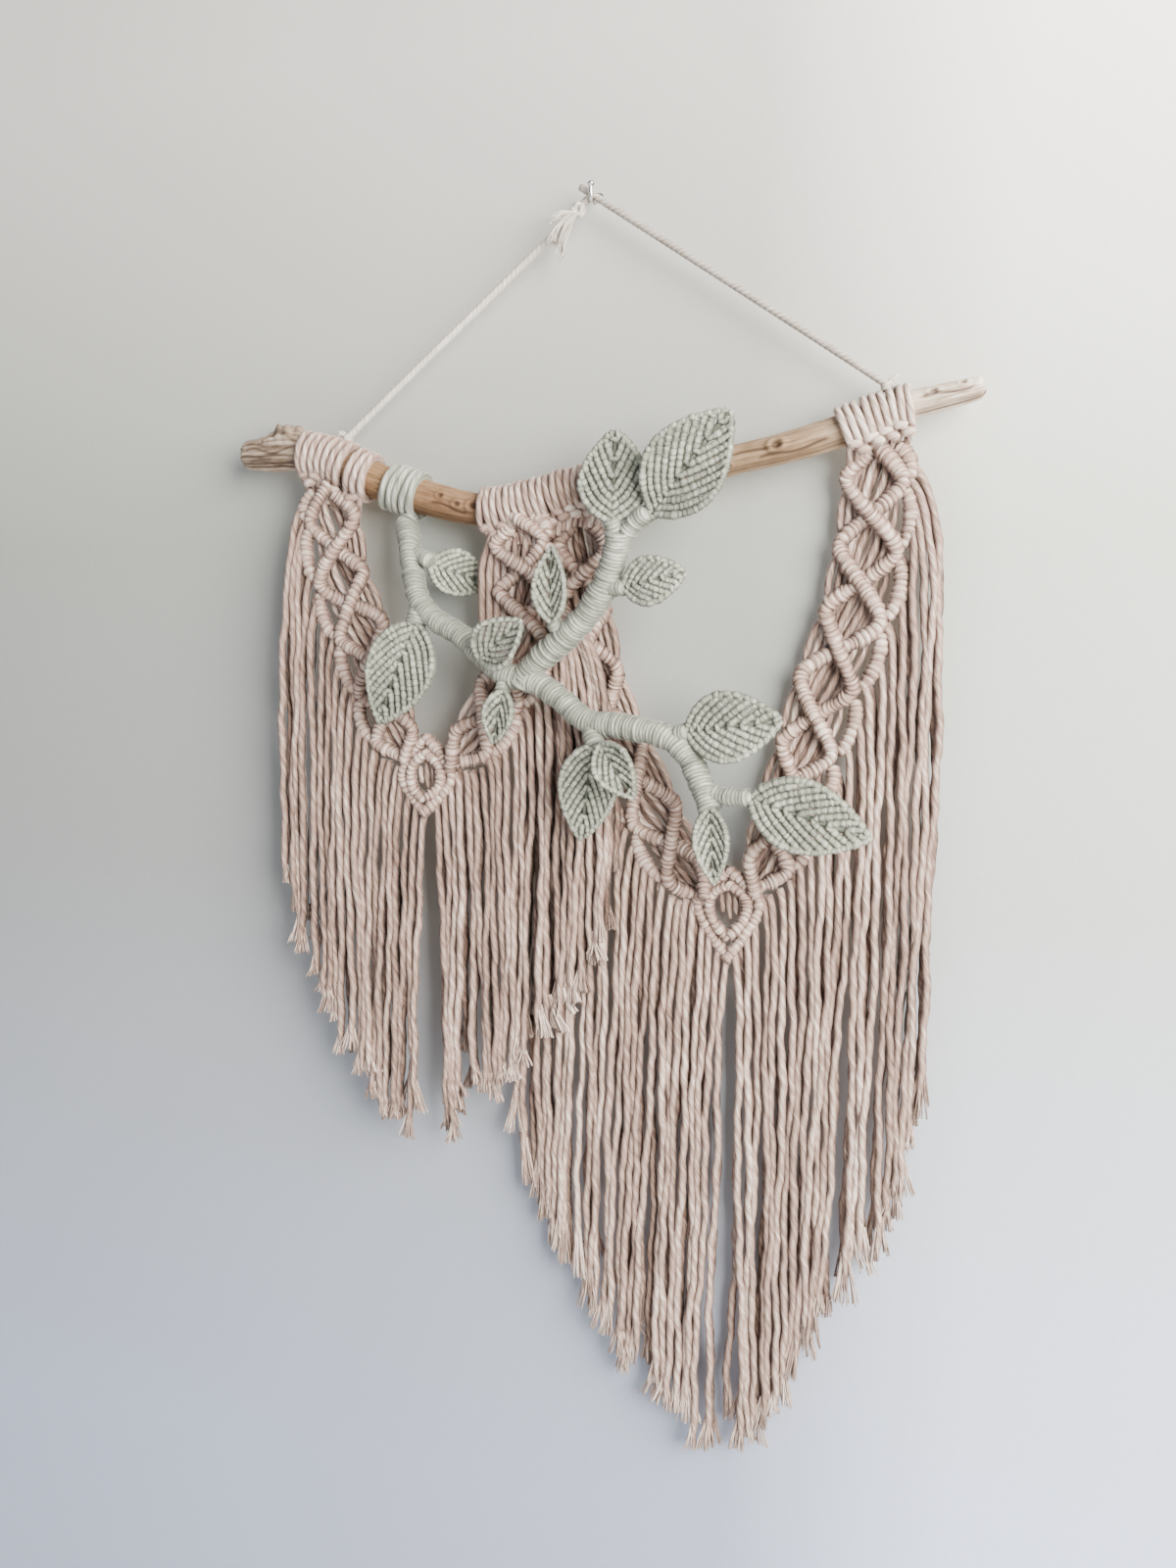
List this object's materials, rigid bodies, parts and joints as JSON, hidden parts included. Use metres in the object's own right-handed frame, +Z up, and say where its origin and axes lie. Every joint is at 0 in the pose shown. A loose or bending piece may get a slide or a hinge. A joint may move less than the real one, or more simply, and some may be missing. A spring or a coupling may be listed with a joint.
{
  "type": "macrame wall hanging on a driftwood branch",
  "caption": "Knotted cotton wall hanging in two fringed scallops with a yarn-wrapped leafy vine, hung from a driftwood branch by a cord over a wall hook.",
  "frame": {"origin": "centre of the hook's flat face, where it meets the wall", "axes": "+Z up, +Y into the wall, +X to the right as seen from the room"},
  "size_m": [0.4579, 0.0591, 0.7899],
  "materials": {
    "cotton_cord": "matte single-strand cotton cord, pinkish oatmeal",
    "sage_yarn": "fine sage yarn, wound close, soft sheen",
    "leaf_cotton": "matte sage cotton cord, knotted in ribs",
    "driftwood": "bare weathered driftwood",
    "hook_steel": "bright plated steel"
  },
  "bodies": {
    "root": {"driftwood_branch": "driftwood", "wall_hook": "hook_steel", "hanger_cord_left": "cotton_cord", "hanger_cord_right": "cotton_cord", "hanger_knot": "cotton_cord", "mounting_knots_left": "cotton_cord", "mounting_knots_middle": "cotton_cord", "mounting_knots_right": "cotton_cord", "sage_wraps": "sage_yarn", "net_left_outer": "cotton_cord", "net_left_inner": "cotton_cord", "net_left_diamond": "cotton_cord", "net_right_outer": "cotton_cord", "net_right_inner": "cotton_cord", "net_right_diamond": "cotton_cord", "fringe_left_outer": "cotton_cord", "fringe_left_inner": "cotton_cord", "fringe_right_outer": "cotton_cord", "fringe_right_inner": "cotton_cord", "vine_stem_main": "sage_yarn", "vine_stem_rising": "sage_yarn", "vine_twig_crown_left": "sage_yarn", "vine_twig_crown_right": "sage_yarn", "vine_twig_side": "sage_yarn", "vine_twig_bud": "sage_yarn", "vine_twig_high": "sage_yarn", "vine_twig_broad": "sage_yarn", "vine_twig_drooping": "sage_yarn", "vine_twig_pair": "sage_yarn", "vine_twig_right": "sage_yarn", "vine_twig_low": "sage_yarn", "leaf_crown_left": "leaf_cotton", "leaf_crown_right": "leaf_cotton", "leaf_bud": "leaf_cotton", "leaf_broad": "leaf_cotton", "leaf_high": "leaf_cotton", "leaf_tip": "leaf_cotton", "leaf_side": "leaf_cotton", "leaf_curled": "leaf_cotton", "leaf_drooping": "leaf_cotton", "leaf_pair_long": "leaf_cotton", "leaf_pair_folded": "leaf_cotton", "leaf_right": "leaf_cotton", "leaf_low": "leaf_cotton"}
  },
  "joints": []
}
